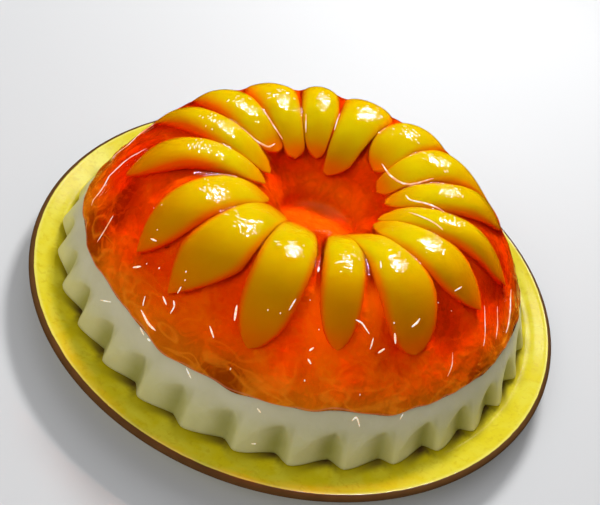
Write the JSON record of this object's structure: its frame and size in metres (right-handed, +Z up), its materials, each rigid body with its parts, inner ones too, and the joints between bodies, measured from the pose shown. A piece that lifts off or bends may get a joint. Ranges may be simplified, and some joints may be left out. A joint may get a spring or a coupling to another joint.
{
  "type": "moulded fruit jelly on a plate",
  "caption": "Ring-shaped moulded dessert jelly on a shallow glazed plate: a fluted milk jelly base under an orange jelly dome with a central well, crowned with peach slices.",
  "frame": {"origin": "centre of the plate's foot, on the surface that the plate stands on", "axes": "+Z up along the axis of the plate and the ring; -Y towards the side shown in front; +X to the right of it"},
  "size_m": [0.26, 0.26, 0.0734],
  "materials": {
    "glaze": "glazed stoneware, mottled citron yellow with a brown lip",
    "milk": "cloudy milk jelly, soft wet sheen",
    "orange": "clear orange jelly, wet and glossy",
    "peach": "canned peach flesh under a wet film"
  },
  "bodies": {
    "root": {"plate": "glaze", "milk_layer": "milk", "orange_jelly": "orange", "peach_slice_01": "peach", "peach_slice_02": "peach", "peach_slice_03": "peach", "peach_slice_04": "peach", "peach_slice_05": "peach", "peach_slice_06": "peach", "peach_slice_07": "peach", "peach_slice_08": "peach", "peach_slice_09": "peach", "peach_slice_10": "peach", "peach_slice_11": "peach", "peach_slice_12": "peach", "peach_slice_13": "peach", "peach_slice_14": "peach", "peach_slice_15": "peach", "peach_slice_16": "peach"}
  },
  "joints": []
}
